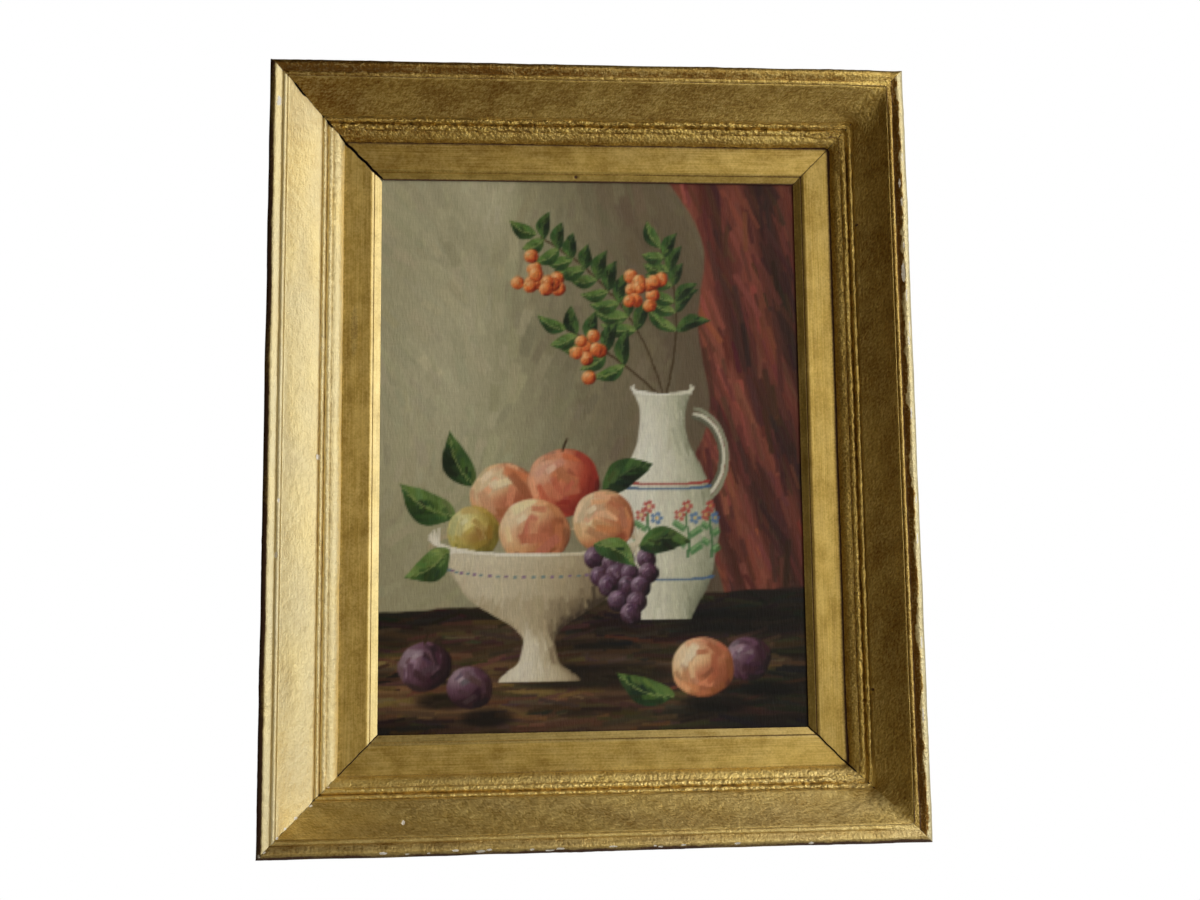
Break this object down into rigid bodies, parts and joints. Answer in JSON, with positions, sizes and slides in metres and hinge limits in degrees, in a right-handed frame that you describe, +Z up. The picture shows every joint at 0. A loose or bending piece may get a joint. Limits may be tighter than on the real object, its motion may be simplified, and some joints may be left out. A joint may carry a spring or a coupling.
{
  "type": "framed oil painting",
  "caption": "Oil painting on canvas, a fruit still life, in a deep gilt wooden moulding with a flat gilt liner, for hanging flat on a wall.",
  "frame": {"origin": "on the flat back of the top moulding rail, halfway along it and halfway across its back, where it hangs on the wall", "axes": "+Y out of the back into the wall, so the picture faces -Y, +Z up the picture's long side, +X to the viewer's right"},
  "size_m": [0.386, 0.052, 0.4659],
  "materials": {
    "moulding_gilding": "bronze gold paint over gesso, worn, with dark brown patina",
    "liner_gilding": "smooth brushed gold paint with fine lengthwise streaks",
    "oil_paint": "oil paint on primed linen, satin varnish",
    "bare_pine": "old bare softwood"
  },
  "bodies": {
    "root": {"moulding_rail_top": "moulding_gilding", "moulding_rail_bottom": "moulding_gilding", "moulding_rail_left": "moulding_gilding", "moulding_rail_right": "moulding_gilding", "liner_rail_top": "liner_gilding", "liner_rail_bottom": "liner_gilding", "liner_rail_left": "liner_gilding", "liner_rail_right": "liner_gilding", "canvas": "oil_paint", "stretcher_bar_top": "bare_pine", "stretcher_bar_bottom": "bare_pine", "stretcher_bar_left": "bare_pine", "stretcher_bar_right": "bare_pine"}
  },
  "joints": []
}
